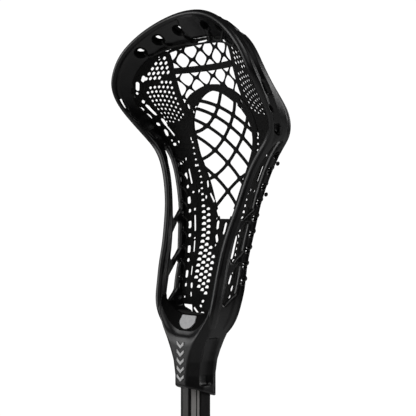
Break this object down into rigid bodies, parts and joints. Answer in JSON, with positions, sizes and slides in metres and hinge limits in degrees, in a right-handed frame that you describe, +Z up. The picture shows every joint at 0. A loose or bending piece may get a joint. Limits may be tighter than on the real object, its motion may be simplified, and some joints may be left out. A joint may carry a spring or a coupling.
{
  "type": "lacrosse stick",
  "caption": "Women's lacrosse stick: moulded head with flared scoop, windowed sidewalls and knitted pocket, on an octagonal shaft with a rubber butt cap.",
  "frame": {"origin": "centre of the butt cap's flat end face", "axes": "+Z up along the shaft to the scoop; the head's open face looks along -Y and the pocket bags towards +Y; symmetric about X = 0"},
  "size_m": [0.1812, 0.0643, 1.0932],
  "materials": {
    "head_nylon": "satin black moulded nylon",
    "shaft_alloy": "black anodised, satin, with silver-grey stripes",
    "cap_rubber": "matte",
    "screw_steel": "zinc plated",
    "badge_print": "silver-grey print",
    "mark_print": "white print",
    "pad_foam": "closed-cell foam",
    "string_cord": "braided nylon cord",
    "pocket_knit": "knitted coated yarn"
  },
  "bodies": {
    "root": {"ball_stop_badge": "badge_print", "ball_stop_pad": "pad_foam", "bottom_string": "string_cord", "butt_cap": "cap_rubber", "head_frame": "head_nylon", "head_screw": "screw_steel", "left_sidewall_string": "string_cord", "pocket_arch_band": "pocket_knit", "pocket_center_net": "pocket_knit", "pocket_cross_band": "pocket_knit", "pocket_left_edge": "pocket_knit", "pocket_left_lower_net": "pocket_knit", "pocket_left_middle_net": "pocket_knit", "pocket_left_panel": "pocket_knit", "pocket_right_edge": "pocket_knit", "pocket_right_lower_net": "pocket_knit", "pocket_right_middle_net": "pocket_knit", "pocket_right_panel": "pocket_knit", "pocket_top_band": "pocket_knit", "pocket_upper_net_high": "pocket_knit", "pocket_upper_net_low": "pocket_knit", "right_sidewall_string": "string_cord", "shaft_tube": "shaft_alloy", "throat_marks": "mark_print", "top_string": "string_cord"}
  },
  "joints": []
}
